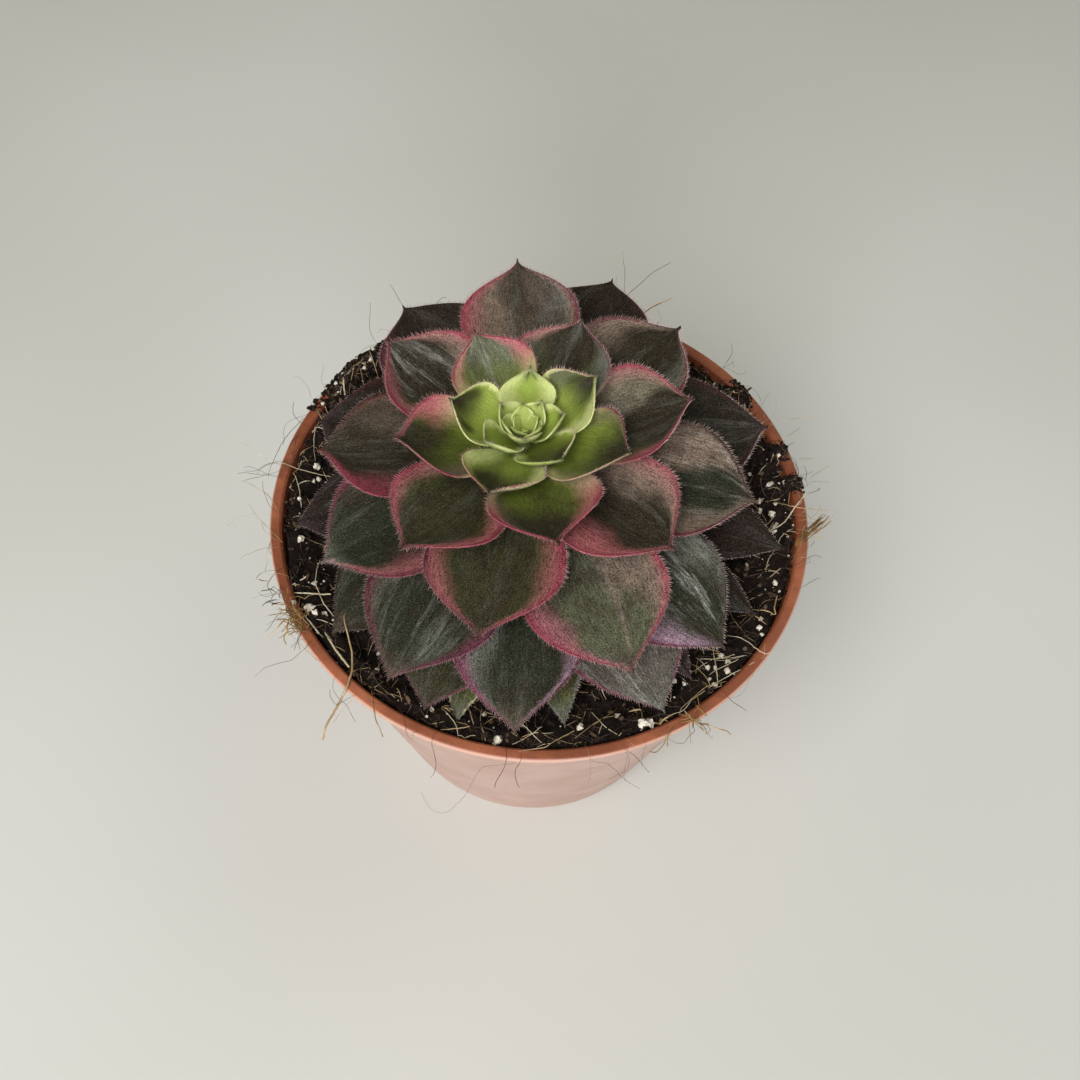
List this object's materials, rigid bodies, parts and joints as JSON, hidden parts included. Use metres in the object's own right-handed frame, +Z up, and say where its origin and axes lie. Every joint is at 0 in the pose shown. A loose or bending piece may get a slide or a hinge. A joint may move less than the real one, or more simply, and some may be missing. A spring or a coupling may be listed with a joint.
{
  "type": "potted aeonium",
  "caption": "Aeonium rosette of broad pointed leaves with hairy margins on a short stem, in a tapered round nursery pot filled with peat soil.",
  "frame": {"origin": "centre of the ring on the pot's underside that it stands on", "axes": "+Z up along the pot axis, -Y towards the front as pictured, +X to the right"},
  "size_m": [0.12, 0.12, 0.1202],
  "materials": {
    "pot_plastic": "moulded terracotta-coloured polypropylene, satin, lightly scratched",
    "peat_soil": "dark crumbly peat with white perlite grains and fine roots, matte",
    "stem_bark": "short fleshy stem with thin brown bark, matte",
    "leaf_young": "young succulent leaf, yellow-green, fine velvet hair, satin",
    "leaf_mature": "succulent leaf, dark green with a crimson margin and pale hairs, satin",
    "leaf_old": "old succulent leaf, purple-black to grey-green, satin"
  },
  "bodies": {
    "root": {"pot": "pot_plastic", "soil": "peat_soil", "stem": "stem_bark", "heart": "leaf_young", "leaf_01": "leaf_young", "leaf_02": "leaf_young", "leaf_03": "leaf_young", "leaf_04": "leaf_young", "leaf_05": "leaf_young", "leaf_06": "leaf_young", "leaf_07": "leaf_mature", "leaf_08": "leaf_mature", "leaf_09": "leaf_mature", "leaf_10": "leaf_mature", "leaf_11": "leaf_mature", "leaf_12": "leaf_mature", "leaf_13": "leaf_mature", "leaf_14": "leaf_mature", "leaf_15": "leaf_mature", "leaf_16": "leaf_mature", "leaf_17": "leaf_mature", "leaf_18": "leaf_mature", "leaf_19": "leaf_mature", "leaf_20": "leaf_mature", "leaf_21": "leaf_mature", "leaf_22": "leaf_mature", "leaf_23": "leaf_mature", "leaf_24": "leaf_mature", "leaf_25": "leaf_mature", "leaf_26": "leaf_mature", "leaf_27": "leaf_old", "leaf_28": "leaf_old", "leaf_29": "leaf_old", "leaf_30": "leaf_old", "leaf_31": "leaf_old", "leaf_32": "leaf_old", "leaf_33": "leaf_old", "leaf_34": "leaf_old", "leaf_35": "leaf_old", "leaf_36": "leaf_old", "leaf_37": "leaf_old", "leaf_38": "leaf_old", "leaf_39": "leaf_old", "leaf_40": "leaf_old", "leaf_41": "leaf_old", "leaf_42": "leaf_old", "leaf_43": "leaf_old", "leaf_44": "leaf_old", "leaf_45": "leaf_old", "leaf_46": "leaf_old", "leaf_47": "leaf_old"}
  },
  "joints": []
}
